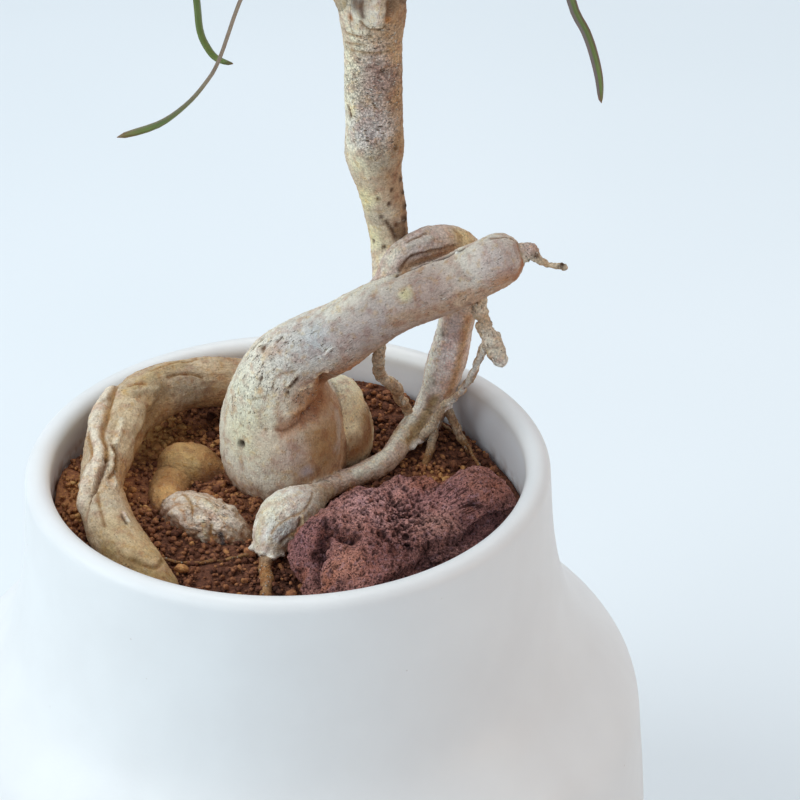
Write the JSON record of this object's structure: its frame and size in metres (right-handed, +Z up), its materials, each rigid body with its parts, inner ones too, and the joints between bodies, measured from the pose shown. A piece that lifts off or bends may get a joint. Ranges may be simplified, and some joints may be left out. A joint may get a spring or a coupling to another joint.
{
  "type": "potted euphorbia",
  "caption": "Caudex plant with bared, twisted roots and narrow leaves, in a round-shouldered white pot with a lava stone on the soil.",
  "frame": {"origin": "centre of the pot's flat foot, on the surface that it stands on", "axes": "+Z up along the pot's axis, +Y away from the viewer of the picture, +X to that viewer's right"},
  "size_m": [0.1695, 0.1757, 0.3048],
  "materials": {
    "pot": "matte white, unglazed look",
    "soil": "dark reddish brown grains",
    "lava_stone": "porous reddish purple scoria",
    "bark": "pale grey-beige bark with fine flakes",
    "leaf": "dark green narrow blades with reddish edges"
  },
  "bodies": {
    "root": {"pot": "pot", "soil": "soil", "lava_stone": "lava_stone", "roots_and_trunk": "bark", "leaves_left": "leaf", "leaves_far_left": "leaf", "leaves_left_back": "leaf", "leaves_right": "leaf", "leaves_right_back": "leaf", "leaves_back": "leaf", "leaves_back_right": "leaf", "leaves_top": "leaf", "leaves_top_right": "leaf"}
  },
  "joints": []
}
